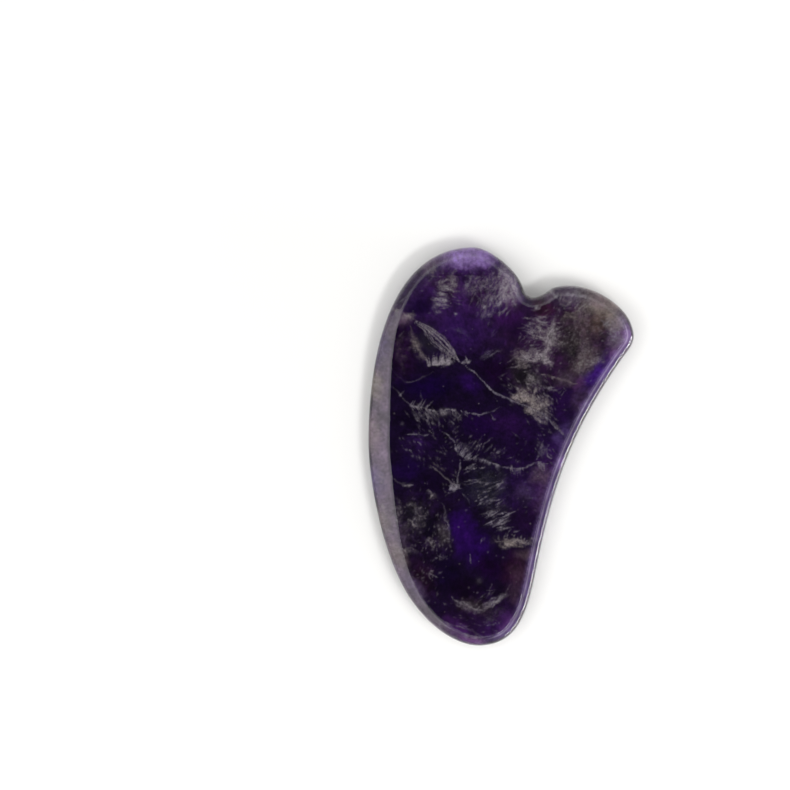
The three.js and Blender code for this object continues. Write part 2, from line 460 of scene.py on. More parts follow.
    def cloud(self, x, y, along, across, turn=0, strength=0.6, warmth=0.3, grain=None,
              fine=0.9, contrast=0.6, seed=1):
        """A milky patch. With a grain it is drawn out into fibres that run that way."""
        reach = max(along, across) * 1.5
        i = self.near((x - reach, y - reach), (x + reach, y + reach))
        u, v = self.u[i], self.v[i]
        sway = min(along, across) * 1.3
        su = u + sway * (rough_mottle(u, v, 2.4, 40 + seed, 5) - 0.5) * 2
        sv = v + sway * (rough_mottle(u, v, 2.4, 50 + seed, 5) - 0.5) * 2
        a, b = turned(su - x, sv - y, turn)
        inside = 1 - smoothstep(0.2, 1.2, np.hypot(a / along, b / across))
        if grain is None:
            haze = rough_mottle(su * 0.6 + u * 0.4, sv * 0.6 + v * 0.4, fine, 60 + seed)
            web = filaments(su * 0.4 + u * 0.6, sv * 0.4 + v * 0.6, fine * 1.6, 160 + seed)
        else:
            a, b = turned(u * 0.8 + su * 0.2, v * 0.8 + sv * 0.2, grain)
            haze = rough_mottle(a / 4, b, fine * 0.6, 60 + seed, 3)
            web = filaments(a / 3.5, b, fine * 0.8, 160 + seed)
        haze = smoothstep(0.5 - 0.5 * (1 - contrast) - 0.1, 0.72, haze)
        texture = haze * (0.5 + 0.5 * web) + 0.3 * web
        self.add_milk(i, strength * inside * texture, warmth)

    def curtain(self, points, lean, drop, strength=0.5, warmth=0.3, fine=0.5, seed=1, edge=0.5):
        """A veil that hangs from a line: sharp along it, and fading out in folds."""
        path = bent_path(points, 0.2)
        way = np.array([math.cos(math.radians(lean)), math.sin(math.radians(lean))])
        low = np.minimum(path.min(axis=0), (path + way * drop).min(axis=0)) - 1
        high = np.maximum(path.max(axis=0), (path + way * drop).max(axis=0)) + 1
        i = self.near(low, high)
        if not len(i):
            return
        here = np.stack([self.u[i], self.v[i]], axis=1)
        side = np.array([-way[1], way[0]])
        order = np.argsort(path @ side)
        across = here @ side
        level = np.interp(across, (path @ side)[order], (path @ way)[order])
        within = (smoothstep(0, 0.6, across - (path @ side).min())
                  * smoothstep(0, 0.6, (path @ side).max() - across))
        fallen = here @ way - level
        folds = rough_mottle(across, fallen / 5, fine, 70 + seed, 3)
        long = drop * (0.35 + 0.9 * mottle(across, fallen * 0, 1.1, 80 + seed))
        body = smoothstep(-0.15, 0.05, fallen) * (1 - smoothstep(0, 1, fallen / long))
        lip = np.exp(-(fallen / 0.2) ** 2) * edge
        amount = within * (body * smoothstep(0.3, 0.75, folds) + lip * (0.4 + 0.6 * folds))
        self.add_milk(i, strength * amount, warmth)

    def dust(self, count, seed):
        """Tiny bright grains scattered all through the stone."""
        draw = np.random.default_rng(seed)
        for x, y in draw.uniform(LOW[:2], HIGH[:2], (count, 2)):
            self.speck(x, y, draw.uniform(0.07, 0.15), draw.uniform(0.05, 0.4), draw.random())

    def wash(self, colour, facing, strength, rim, face, fade=0.25):
        """One colour along the edges that face one way, between two shares of the
        bevel's width."""
        outward = self.outward @ np.array(facing)
        share = self.inset / self.bevel
        within = (smoothstep(rim - 0.06, rim + 0.06, share)
                  * (1 - smoothstep(face - fade, face + fade, share)))
        amount = strength * smoothstep(0.25, 0.8, outward) * within
        uneven = 0.35 + 1.3 * rough_mottle(self.u, self.v, 3.0, 90)
        self.ground += (np.array(colour) * uneven[:, None] - self.ground) * amount[:, None]

    def speck(self, x, y, radius, strength, warmth=0.2):
        """One round bright grain."""
        i = self.near((x - 2, y - 2), (x + 2, y + 2))
        away = np.hypot(self.u[i] - x, self.v[i] - y)
        self.add_milk(i, strength * np.exp(-(away / radius) ** 2), warmth)


# ---- The colours and veils of this stone ----
# Places are millimetres in the board's own frame, as they show through the upper face.

NIGHT = seen("#1d0d30")
RICHER = np.array([1.35, 0.9, 1.5])   # makes up for what the clear skin over it takes away


# Colours of the ground: code, place, half length and half width, and how far it is turned
BROAD_TONES = (
    # Under everything else
    ("#3a2550", -8, 31.5, 15, 11, 0), ("#352338", 14, 22, 14, 11, 0),
    ("#241338", 6, -3, 8, 11, 0), ("#251431", -4, -35.5, 11, 6, 0),
    ("#20152b", -15.5, -18, 7, 11, 10),
    # The round lobe
    ("#4f4159", -15, 36.8, 5.5, 3, 32), ("#7d669a", -7, 39.3, 6.5, 2.5, 3),
    ("#3f2a56", -19.3, 33, 4.6, 2.8, 60), ("#1e0d35", -17.5, 29.2, 3.6, 2.2, 8),
    ("#3b2b43", -11.5, 33, 3.6, 3.2, 0), ("#372340", -4, 32.5, 4.2, 4.8, 0),
    ("#4d3b52", 1.6, 32.5, 2.4, 5, 12), ("#341e4f", -8.5, 23.6, 4.6, 3.2, -20),
    ("#391c4a", 1.5, 26.5, 3.2, 1.7, 10), ("#251032", 4.2, 24.3, 3.6, 2.2, 0),
    # Between the lobe and the great fracture
    ("#26112f", -20.5, 20, 2.6, 6.2, 0), ("#211730", -15.5, 21.3, 2.6, 2, -50),
    ("#150431", -15.5, 12.2, 6, 2.6, 5), ("#2a114a", -6.5, 13, 2.8, 1.8, -30),
    ("#1b0627", -0.5, 15.3, 5, 2.8, -25), ("#312831", 4.5, 15, 3, 3, 0),
    # The wing
    ("#7c7083", 25, 22, 2.8, 4.4, -20),
    ("#3f2070", 19.4, 15.4, 2.5, 4.6, -36), ("#3e2434", 9, 28.6, 2.4, 1.8, 0),
    ("#27123b", 13, 9, 3.2, 4, -20), ("#47354d", 15.8, 13, 1.8, 1.6, 0),
    # The middle
    ("#1e0835", -4, 4.5, 4.2, 2.8, 0), ("#2a143e", 1.5, 4.5, 4.2, 2.8, -20),
    ("#190a29", 4.5, 0, 3.6, 2.6, 0), ("#2c1544", 11, -1, 2.6, 2.6, 0),
    ("#775e89", 12.7, -3.7, 1, 1.5, -20), ("#150b24", -19, 5, 3.6, 4, 0),
    ("#251639", -17.5, 0, 3.8, 2.6, 0), ("#1c0a37", -19.5, -5, 3.6, 3, 0),
    ("#150924", -15, -8, 3.2, 3, 0), ("#232036", -3.5, -8, 4.6, 4.4, 20),
    ("#29163e", 2.5, -9, 4.2, 4.4, 0), ("#3e284e", 8.6, -8, 2.4, 6.6, -14),
    ("#22112f", 5.2, -15.5, 3.6, 3.8, 0),
    # The lower left
    ("#2a2331", -18, -14.5, 3.2, 4, 10), ("#110921", -15, -17, 1.7, 2.8, 0),
    ("#312c38", -12, -18, 1.8, 3.2, 0), ("#2f0e57", -8.3, -17, 3, 4.2, 10),
    ("#270b4a", -5.5, -21, 3.8, 3.4, 0), ("#180226", -2.2, -25, 3.8, 3.2, 0),
    ("#100622", -11, -26.5, 3.2, 4.8, 10), ("#271627", -16.6, -27, 2.6, 4.4, 28),
    ("#11041a", -8, -29.3, 4.2, 2.4, 0),
    # The tail
    ("#342a35", -6, -33, 3.4, 1.6, -15), ("#2b1229", 2.8, -26, 2.8, 4.8, -8),
    ("#432654", -9.3, -37.8, 3.6, 2, -35), ("#38214d", -2, -38, 3.8, 2.2, 0),
    ("#62476a", -6, -40.2, 3, 1, -12), ("#513762", 1.2, -36.8, 2, 2.4, 25))

# The paler and duller patches that lie over them
NEAR_TONES = (
    ("#635469", 15.5, 31.2, 5, 2.6, -5), ("#9f9388", 22, 28.2, 5.6, 3, -35),
    ("#54444a", 17, 24.5, 5.2, 3.6, 0), ("#22171f", 13.8, 22.5, 2.8, 4.6, 10),
    ("#54464a", 17.3, 17.5, 4.4, 2.6, 42), ("#4a3c60", -15, 36.8, 5, 2, 32),
    ("#262030", -17.6, -14.5, 3, 3.8, 10), ("#312a33", -12, -18, 1.8, 3.2, 0),
    ("#ac93c9", -7.2, 39.2, 6.4, 2.4, 3), ("#2f2631", 14, 19.8, 1.8, 1.8, 0),
    ("#58417a", 12.6, 2.4, 1.6, 3, -25), ("#5c4c5c", 13, 14, 2, 1.6, 0),
    ("#4a3557", 16.4, 10, 1.8, 3, -30), ("#624e64", 8.2, -6.2, 2.4, 2.2, 0),
    ("#4b385e", 4.2, -9.8, 2.4, 2.4, 0), ("#4a3357", 8.2, -11, 1.6, 3.4, -10),
    ("#604c59", 5, -22.4, 2.4, 1.4, 0), ("#4d3349", 3.6, -26.4, 2.2, 2.6, 0),
    ("#4a344b", 2.8, -30.4, 2.2, 2.4, 0), ("#68544f", 20, 26, 2.2, 2.2, 0),
    ("#8d7b80", 20.2, 30.2, 3, 1.6, -30), ("#958790", 24.2, 26, 1.8, 2.4, -30),
    ("#6c5a72", 23.6, 21.8, 2, 2, 0), ("#705a70", -20.3, 26.2, 1.8, 1.6, 0),
    ("#54465a", -20.4, -18.2, 1.4, 2.8, 20),
    ("#26222f", -15.5, 21.3, 2.6, 2, -50), ("#28232c", 4.5, 15, 3, 3, 0),
    ("#1f1d2c", -3.5, -8, 4.6, 4.4, 20), ("#362b35", -6, -33, 3.4, 1.6, -15))


def colour_zones(stone):
    """The broad colours of the ground: violet-black, with plum, smoke and lavender."""
    for colour, x, y, along, across, turn in BROAD_TONES:
        stone.zone(seen(colour) * RICHER, x, y, along, across, turn, 0.92)
    for colour, x, y, along, across, turn in NEAR_TONES:
        stone.zone(seen(colour), x, y, along, across, turn, 0.85)


def painted_edge_light(stone):
    """Painted light along the edges: glow, a highlight line, a reflection band and rim shade."""
    # Painted glow and sheen: a lilac band on the hollow side, where thin edges let light through
    # and the bevel mirrors the surround
    stone.wash(seen("#7c6897"), (0.96, -0.28), 0.6, 0.42, 1.1, 0.4)
    # Painted highlight: a thin pale line part way across the hollow side's bevel
    stone.wash(seen("#c9c0d4"), (0.95, -0.3), 0.6, 0.76, 0.84, 0.05)
    # Painted shade: a dark grey-mauve band on the hollow side's outer rim
    stone.wash(seen("#3d3145"), (0.96, -0.28), 0.9, -1, 0.42, 0.06)
    # Painted reflection: a paler smoky band over the back bevel
    stone.wash(seen("#7d6c80"), (-1, 0.05), 0.9, 0.12, 0.97, 0.04)
    # Painted shade: a darker band on the back's outer rim
    stone.wash(seen("#33283d"), (-1, 0.05), 0.9, -1, 0.12, 0.04)
    # Paler and darker patches in the painted reflection along the back, and a violet strip along
    # the lower hollow edge
    for colour, x, y, along, across, turn in (
            ("#948a7c", -26, 12, 2, 3.2, 0), ("#99838f", -26.2, 2, 1.4, 4.4, 0),
            ("#5f4c78", -25, 20.5, 2, 5, -10), ("#72618d", -25.6, -8, 1.6, 3.4, 0),
            ("#7f7371", -24.2, -16, 1.6, 2.8, 15), ("#80706f", -21.5, -22.5, 1.6, 3.4, 25),
            ("#4e3a60", -22.4, 27.6, 1.6, 3, -30), ("#3c2850", -18.8, 33, 6.4, 2.2, 48),
            ("#3a264e", -19.8, 32, 5.4, 2.4, 52), ("#6e5a7d", -18, -29, 1.6, 3.4, 35),
            ("#43325a", 9.2, -17, 12.5, 1.7, 74)):
        stone.zone(seen(colour), x, y, along, across, turn, 0.75)
    # Milky clouds that break up the band along the back
    for x, y, along, across in (
            (-25.8, 11.5, 1.6, 3.2), (-25.8, 2, 1.6, 4.4), (-25, -7, 1.4, 3.4),
            (-23.8, -15.5, 1.8, 3), (-21.4, -22, 1.6, 3), (-24.6, 20, 1.2, 3.4)):
        stone.cloud(x, y, along, across, 0, 0.35, 0.6, fine=0.9, seed=int(400 + y))


def marbling(stone):
    """Where the stone is cloudy rather than clear, its ground is mottled."""
    for x, y, along, across, turn, contrast, size in (
            (15.5, 23, 11, 10, -20, 0.30, 1.5), (6.5, 12.5, 8, 5, -30, 0.30, 1.2),
            (-16.5, -16, 6, 10, 10, 0.38, 1.2), (-7.5, 32.5, 10, 7, 0, 0.25, 1.6),
            (-14, 3.5, 9, 6, -10, 0.24, 1.3), (-3, -9, 7, 9, 20, 0.24, 1.2),
            (-4, -32.5, 9, 4, 10, 0.26, 1.2), (6, -9, 5, 9, 0, 0.14, 1.6),
            (-15.5, -27, 4, 5, 30, 0.25, 1.2), (-20.5, 20, 3, 7, 0, 0.18, 1.4)):
        stone.marble(x, y, along, across, turn, contrast, size, int(300 + x + 2 * y))


def lobe_veils(stone):
    """Lavender cracks at the crest, milky wisps below them and a cloud of filaments."""
    for line in (
            [(-6.7, 41), (-6.7, 37)], [(-6, 40.6), (-6.1, 38)], [(-3.3, 40.6), (-2.2, 39.8)],
            [(0, 38.7), (-1.8, 37.8), (-3, 36.6)], [(-21.5, 29), (-18, 33)]):
        stone.thread(line, 0.17, 0.22, 0.1)
    stone.cloud(-13.6, 37.6, 3.4, 1.4, 32, 0.3, 0.6, fine=0.8, seed=1)
    for x, y, along, across, turn, strength in (
            (-11.2, 32.6, 2.8, 0.7, -12, 0.7), (-12.6, 30.4, 2, 0.6, -8, 0.8),
            (-12.5, 29.5, 2, 0.5, -4, 0.7), (-11.8, 34.6, 2, 0.6, 18, 0.6),
            (-13.4, 28, 1.1, 0.9, 0, 0.5), (-12.5, 31.4, 2, 0.6, -20, 0.5)):
        stone.cloud(x, y, along, across, turn, strength, 0.4, grain=turn, fine=0.6, seed=int(y))
    stone.strokes(-12.6, 30.4, 2.2, 2.2, 0, -6, 2, 14, 0.4, 0.13, 0.4, 8, seed=61)
    stone.cloud(-9.8, 34, 1.5, 1.4, 0, 0.5, 0.5, seed=2)
    stone.speck(-9.5, 27.5, 0.22, 0.7)
    stone.cloud(-4.2, 33.4, 4.2, 2.8, 30, 0.42, 0.2, fine=0.8, seed=3)
    stone.cloud(-3, 29.6, 2.2, 3.2, 10, 0.36, 0.2, grain=65, fine=0.7, seed=4)
    for line in (
            [(-6.5, 33), (-5.4, 34.6), (-4, 35.5)], [(-1.5, 31.5), (-0.5, 28)],
            [(-5.8, 31.8), (-4.4, 30.4), (-3.9, 28.8)]):
        stone.thread(line, 0.2, 0.3, 0.2)
    stone.cloud(1.2, 33, 1.5, 4.4, 12, 1, 0.35, grain=70, fine=0.9, contrast=0.35, seed=5)
    stone.cloud(0.8, 35.2, 1.6, 2.4, 15, 0.5, 0.35, fine=0.8, seed=25)
    stone.cloud(-0.6, 30.6, 2.2, 3, -25, 0.5, 0.3, grain=60, fine=0.7, seed=6)
    stone.strokes(-0.6, 31.2, 3.2, 4.4, -25, 60, 2.6, 26, 0.42, 0.14, 0.3, 12, seed=62)
    stone.thread([(0.5, 35.5), (1.6, 33), (2.5, 30), (3.3, 28.7)], 0.26, 0.4, 0.3)
    stone.thread([(3, 36), (4, 34.4), (4.7, 32.5)], 0.16, 0.6, 0.1)
    stone.cloud(-9, 23.8, 2.4, 0.9, -25, 0.16, 0, grain=-25, seed=7)


def strand_bundle(stone):
    """The bundle of strands that sweeps down from the back, and what lies round it."""
    stone.thread([(-22.6, 28.3), (-20, 27.2), (-18, 26.2)], 0.6, 0.3, 0.7)
    stone.cloud(-20.2, 27.2, 2.6, 1, -25, 0.5, 0.7, fine=0.7, seed=26)
    stone.cloud(-18.7, 26.6, 1, 0.9, 0, 0.6, 0.7, fine=0.6, seed=27)
    # How far each strand is shifted from the first one's line, its sway and its brightness
    strands = (
        (0.25, 0.2, 0.4), (0, -0.1, 0.62), (-0.35, 0.25, 0.5), (-0.7, -0.2, 0.4),
        (-1, 0.2, 0.55), (-1.45, -0.15, 0.42), (-1.9, 0.1, 0.5), (-2.3, -0.1, 0.3))
    for k, (shift, sway, strength) in enumerate(strands):
        stone.thread([(-17.9 + 0.1 * shift, 26 + shift * 0.2),
            (-15.2 + 0.5 * shift - sway, 24.9 + 0.4 * shift),
            (-12.2 + 0.9 * shift + sway, 22.4 + 0.5 * shift),
            (-10.1 + 0.5 * shift, 19.8 + 0.3 * shift), (-8.7 + 0.05 * shift, 17.6)], 0.17,
            strength * 1.25, 0.4, seed=k, uneven=0.3)
    stone.cloud(-13.2, 22.8, 5, 1.2, -48, 0.14, 0.45, grain=-48, fine=0.7, seed=8)
    stone.thread([(-19, 25), (-18.3, 23), (-17.3, 20.5), (-15.8, 18.3), (-14.5, 17)], 0.62, 0.3,
        0.9, 0.5)
    stone.cloud(-17.9, 20.8, 1.2, 3.2, 25, 0.3, 0.9, fine=0.8, seed=28)
    stone.needles([(-15, 17), (-12, 17), (-9.6, 17.4)], 92, 2.6, 30, 0.16, 0.8, 12, 0.4, seed=21)
    stone.needles([(-14, 17.2), (-11.4, 17.2)], 88, 1.8, 18, 0.2, 0.8, 14, 0.4, seed=31)
    stone.cloud(-12.4, 17.4, 2.4, 0.8, 0, 0.2, 0.5, seed=10)
    stone.needles([(-8.2, 17.3), (-7, 17.6)], 60, 1.2, 8, 0.16, 0.6, 18, seed=22)
    stone.cloud(-1.9, 19.3, 2.6, 1, 30, 0.34, 0.1, grain=32, fine=0.7, seed=29)
    stone.thread([(-3.3, 18.3), (-1.8, 19.2), (-0.7, 19.9)], 0.17, 0.5, 0.1)
    for line in (
            [(-21.5, 22.5), (-20, 24.2)], [(-2.5, 22.7), (-0.8, 24)], [(-2.2, 23.2), (-1.4, 24.4)]):
        stone.thread(line, 0.16, 0.25, 0.3)
    stone.thread([(-22.3, 15.5), (-21, 14.2), (-19.7, 13.4), (-18, 13.6), (-16.5, 14.3),
        (-14, 15.5)], 0.2, 0.16, 0.5)
    stone.cloud(-20.5, 19.5, 1.5, 4.5, 0, 0.1, 0.8, fine=1, seed=11)


def great_fracture(stone):
    """The long curved fracture across the board, with a feathered band along its top."""
    line = [(-8.8, 17.6), (-6, 15.7), (-4, 13.7), (-2, 11.6), (0, 10.5), (2, 9.6), (4, 8.8), (6, 8),
        (8, 7), (9.5, 5.8), (10.5, 4.6), (12, 3), (13.3, 2.2)]
    stone.thread(line, 0.2, 0.6, 0.1, uneven=0.3)
    stone.thread([(x + 0.3, y - 0.4) for x, y in line[:5]], 0.15, 0.35, 0.2)
    stone.thread([(10, 5.3), (11.3, 4), (12.3, 3)], 0.18, 0.6, 0.4)
    stone.curtain([(1.5, 10), (4, 11.1), (6, 10.7), (7, 12), (8.4, 11), (9.2, 9), (10.2, 6.3)], -75,
        2.8, 0.62, 0.75, 0.7, seed=1, edge=0.2)
    stone.cloud(4.4, 9.9, 2.8, 1.2, -15, 1.2, 0.9, fine=0.7, contrast=0.3, seed=12)
    stone.cloud(7.3, 8, 2.1, 1.6, -20, 1.25, 0.8, fine=0.8, contrast=0.3, seed=13)
    stone.cloud(7.6, 6.6, 2.4, 1.2, -30, 0.7, 0.6, grain=-40, fine=0.8, seed=56)
    stone.cloud(6.6, 9.6, 3.4, 1.6, -25, 0.6, 0.8, grain=-55, fine=0.7, seed=53)
    stone.strokes(6.4, 10, 5, 1.6, -25, -50, 1.6, 34, 0.5, 0.13, 0.6, 14, seed=63)
    stone.cloud(11.2, 4.2, 2, 0.7, -45, 0.32, 0.5, grain=-45, fine=0.7, seed=54)
    stone.cloud(4.6, 12, 1.8, 1, 10, 0.3, 0.95, seed=14)
    stone.cloud(7.4, 14, 2, 2.2, 20, 0.42, 0.5, fine=0.9, seed=15)
    stone.needles([(9, 12.3), (13, 10.4)], 25, 1.6, 9, 0.16, 0.35, 15, 0.3, seed=23)
    stone.thread([(8, 15), (10, 14.7), (12, 14), (13.2, 13.6), (14.5, 13), (16, 12.8)], 0.34, 0.5,
        0.85, 0.7)


def second_veil(stone):
    """The veil below it: a bright rim from the back, folds under it and needles over it."""
    stone.thread([(-25.8, 14), (-23.5, 12.8), (-22, 11.8), (-20, 9.6), (-18.5, 8.4), (-16, 8),
        (-13.5, 7.4), (-12, 7.6), (-10, 8)], 0.18, 0.4, 0.4)
    for root, tip in (
            ((-19, 8.6), (-18.3, 9.6)), ((-18.5, 8.5), (-17.7, 9.6)), ((-17.2, 8.3), (-16.2, 10)),
            ((-16.6, 8.3), (-15.5, 10.1)), ((-15.7, 8), (-14.3, 9.5)),
            ((-21, 10.6), (-20.2, 11.6))):
        stone.needle(root, tip, 0.2, 0.48)
    stone.curtain([(-19.4, 8.4), (-17.5, 8.2), (-15, 7.8), (-13, 7.2)], -62, 4.4, 0.5, 0.32, 0.2,
        seed=2)
    for line in (
            [(-17.5, 8), (-16.5, 6), (-15, 5), (-14.5, 3.5)], [(-14.5, 7), (-13.3, 5.5),
            (-12.9, 3.8)], [(-18.7, 7.6), (-17.8, 6), (-16.6, 4.6)],
            [(-16, 7.6), (-15.4, 6.2), (-14.6, 5.4)]):
        stone.thread(line, 0.25, 0.34, 0.3)
    stone.curtain([(-13, 7.6), (-11.5, 7.8), (-9.2, 7.8)], -75, 2.6, 0.6, 0.35, 0.25, seed=3)
    stone.speck(-12, 7, 0.6, 0.55, 0.4)
    for line in (
            [(-10.5, 5.3), (-9.8, 4.7)], [(-8.5, 7.5), (-8, 6.8)], [(-7.5, 7.5), (-7, 6.5)],
            [(-2.2, 7), (-1.8, 6), (-1.2, 5.3)], [(-17.3, 1), (-16.7, 0.2)],
            [(-19.2, -0.5), (-18.6, -1.3)], [(-17.5, -0.5), (-16.8, -1.3)],
            [(-20, 2.6), (-17.5, 2.6), (-16, 2.3), (-14.5, 3)]):
        stone.thread(line, 0.2, 0.42, 0.2)
    stone.thread([(-7, 7.1), (-5, 6.7), (-3, 6.9), (-2, 7.2), (-0.5, 8.2), (0, 8.3)], 0.18, 0.5,
        0.2)
    stone.thread([(-13, 3.5), (-11.5, 2.6), (-10.3, 1.5), (-9.6, 0.3), (-9.3, -1), (-8.7, -2.2)],
        0.18, 0.45, 0.3)
    stone.needles([(-9.6, -0.2), (-9, -1.2), (-7.6, -2.2), (-6, -2.5)], 50, 2.2, 20, 0.15, 0.52, 12,
        0.2, seed=24)
    stone.cloud(-7.8, -0.8, 2.2, 1.8, 45, 0.16, 0.2, grain=48, seed=16)
    stone.speck(-20.6, 4.8, 0.3, 0.16)
    stone.speck(-18.5, -2, 0.3, 0.3)


def ragged_line(stone):
    """A ragged line across the middle, with combs of short fibres hanging from it."""
    stone.thread([(-8.5, -2.8), (-6, -2.3), (-4.5, -2.4), (-3, -2.9), (-1, -3.6), (0, -4.1),
        (2, -4.4), (3.5, -4.5), (5, -4.2), (6.5, -3.6), (7.5, -3.2), (9, -3.5), (11, -3.8)], 0.18,
        0.42, 0.3, 0.85)
    stone.curtain([(-6, -2.4), (-3, -3), (0, -4.1)], -100, 1.4, 0.4, 0.2, 0.4, seed=4)
    stone.needles([(1.8, -4.3), (4.4, -4.4)], -88, 1.9, 14, 0.14, 0.5, 10, 0.3, seed=25)
    stone.needles([(6.8, -3.4), (8.8, -3.4)], -80, 1.8, 11, 0.14, 0.5, 10, 0.3, seed=26)
    for line in (
            [(-3.8, -1.3), (-1.5, 0.7)], [(-1.2, -1.5), (0, -0.3)],
            [(6.5, 0), (7.6, -1), (8.5, -2)], [(7.2, -3), (8, -0.4), (8.8, 1.8)],
            [(-5.4, -0.6), (-4.2, 0.8)]):
        stone.thread(line, 0.2, 0.45, 0.2)
    stone.thread([(10.2, 0.6), (9.3, -0.5), (9.5, -1.8), (10.5, -2.6)], 0.28, 0.55, 0.2)
    stone.cloud(8, -0.6, 1.2, 2.4, 20, 0.14, 0.3, grain=70, seed=17)


def feather_strokes(stone):
    """The field of short slanting feathers below the ragged line."""
    stone.cloud(-3, -8, 4.6, 5, 22, 0.1, 0.2, grain=22, fine=0.7, seed=18)
    stone.cloud(-0.6, -14.8, 3, 2, 24, 0.16, 0.3, grain=24, fine=0.7, seed=19)
    for x, y, along, across, lean, length, count, strength in (
            (-6.2, -4.4, 1.8, 0.9, 24, 1.8, 9, 0.5), (-6, -7, 2.4, 0.6, 10, 4.2, 6, 0.42),
            (-2.2, -7.8, 3.4, 1.5, 28, 3, 13, 0.5), (-4.4, -10.9, 1.6, 1.6, 25, 1.7, 9, 0.42),
            (-1.4, -11.4, 2.8, 1.4, 24, 2.6, 10, 0.34), (-0.6, -13.9, 2.6, 0.7, 22, 3.6, 7, 0.7),
            (-0.8, -15.7, 2.6, 0.9, 23, 3.8, 8, 0.6), (1, -17.3, 2.6, 0.8, 26, 2.6, 7, 0.36)):
        stone.strokes(x, y, along, across, 0, lean, length, count, strength, 0.13, 0.25, 7,
            seed=int(60 - y))
    stone.thread([(-8.7, -2.4), (-8.7, -4.2), (-9.1, -6), (-9.3, -8)], 0.2, 0.55, 0.2, uneven=0.3)
    stone.needles([(-10.8, -8.9), (-8.8, -8.3)], 78, 2, 14, 0.14, 0.6, 34, 0.2, seed=30)
    stone.cloud(-9.7, -8, 1.3, 0.6, 30, 0.4, 0.3, fine=0.6, seed=57)
    stone.thread([(-15, -3.8), (-13.5, -4.9), (-12, -6.2), (-10.4, -7.4), (-9.6, -8.2)], 0.26, 0.5,
        0.6, uneven=0.4)
    stone.thread([(-14.6, -3.2), (-13, -4.2), (-11.6, -5.4)], 0.3, 0.2, 0.9)
    stone.thread([(-9.2, -8.5), (-10.6, -9.6), (-12, -10.3)], 0.2, 0.45, 0.3)
    stone.thread([(-8, -9.5), (-7.2, -10.8), (-6.5, -12)], 0.2, 0.35, 0.2)


def lower_left_curls(stone):
    """Rounded grey-green curls, as of tiny grapes, along the lower part of the back."""
    stone.thread([(-22.7, -6.2), (-21.8, -7.2), (-20.5, -7.9), (-18, -8)], 0.22, 0.5, 0.5)
    stone.cloud(-19.6, -8, 1.4, 0.6, 0, 0.35, 0.5, seed=20)
    stone.thread([(-24.5, -12), (-23.9, -15), (-24, -17.5), (-22.5, -18), (-21, -17.5)], 0.3, 0.5,
        0.4)
    for x, y, radius, strength in (
            (-18.6, -12.6, 0.9, 0.5), (-17, -12, 0.8, 0.45), (-15.3, -9.9, 0.8, 0.5),
            (-13.9, -10.6, 0.8, 0.5), (-19.2, -16, 0.9, 0.6), (-17.5, -15.6, 0.9, 0.6),
            (-16.6, -13.7, 0.8, 0.45), (-17, -18.5, 1.4, 0.5), (-15, -19.6, 0.7, 0.45),
            (-13.7, -20.2, 0.8, 0.5), (-12.6, -22.4, 0.9, 0.45), (-14, -26.6, 1, 0.35)):
        start = 1.7 * x
        arc = [(x + radius * math.cos(angle), y + radius * math.sin(angle))
               for angle in np.linspace(start, start + 3, 5)]
        stone.thread(arc, 0.2, strength * 0.8, 0.55, 0.9, seed=int(-y))
    for x, y, along, across, turn, strength in (
            (-18.2, -12.6, 1.6, 1.1, 0, 0.2), (-14.3, -10.3, 1.7, 0.9, -25, 0.26),
            (-18.2, -16.2, 2.2, 1, 10, 0.26), (-16.8, -14, 0.8, 2.2, 0, 0.16),
            (-19, -21.5, 1.4, 1, 0, 0.4), (-12, -18.2, 1.1, 2.3, 0, 0.26),
            (-14.5, -19.8, 1.4, 0.9, 0, 0.4), (-21.5, -13, 1.2, 3, 10, 0.3)):
        stone.cloud(x, y, along, across, turn, strength, 0.55, fine=0.8, contrast=0.5,
            seed=int(-x - y))
    stone.thread([(-13.2, -11.3), (-12.2, -12), (-11.8, -13.5), (-11.8, -15), (-11.2, -15.8),
        (-10.8, -17.5), (-10.8, -20)], 0.24, 0.6, 0.3)
    for line in (
            [(-13.5, -22.5), (-12, -23), (-11, -22.3)], [(-15, -26), (-13, -27.3)],
            [(-3.8, -19.5), (-3.5, -19), (-3.2, -19)], [(-6.7, -22), (-6.4, -24)],
            [(-2.5, -29.5), (-2, -28.2)]):
        stone.thread(line, 0.22, 0.42, 0.4)
    for x, y in (
            (-10.8, -13.1), (-7.3, -13.1), (-10.6, -20.9), (-3, -21.8), (-6.8, -29.2),
            (-8.2, -31.5), (0.4, -23), (2.7, -17.5), (2.2, -18.2), (-8.6, -24.4), (-5, -30.2)):
        stone.speck(x, y, 0.16, 0.24, 0.5)
    stone.speck(-4.7, -27.7, 0.6, 0.12, 0.5)


def tail_veils(stone):
    """A pale band above the tail, and a white arc of wisps below it."""
    stone.cloud(2.8, -19.9, 5, 1.3, -3, 0.8, 0.9, fine=0.8, contrast=0.55, seed=31)
    stone.cloud(2.4, -19.7, 2.6, 0.9, 0, 0.5, 0.9, fine=0.7, contrast=0.3, seed=55)
    stone.thread([(-1.5, -19.8), (1, -19.5), (3, -19.3), (5, -20), (6.7, -20.8)], 0.3, 0.45, 0.8)
    arc = [(-10.5, -31), (-9.5, -32), (-8, -32.3), (-6.5, -33.2), (-5, -33.9), (-3.5, -33.5),
        (-2, -32.5), (-0.5, -31.7), (0.5, -30.8), (1.5, -29.8)]
    stone.thread(arc, 0.3, 0.6, 0.4, 0.7)
    stone.cloud(-1.5, -32.2, 2.4, 0.9, 35, 0.6, 0.4, grain=35, fine=0.8, seed=32)
    stone.cloud(-7, -33, 3.4, 0.9, -20, 0.22, 0.4, grain=-20, fine=0.8, seed=33)
    stone.thread([(-12, -36), (-10, -37), (-7, -37.7), (-5, -38.8), (-3.8, -39.7)], 0.24, 0.4, 0.2)
    stone.thread([(-3, -37.2), (-1.2, -36.6)], 0.3, 0.35, 0)
    stone.cloud(-1.6, -35, 3, 1.6, 30, 0.08, 0.3, grain=30, seed=34)
    stone.cloud(-6, -39.8, 3, 0.9, -12, 0.25, 0.3, seed=35)


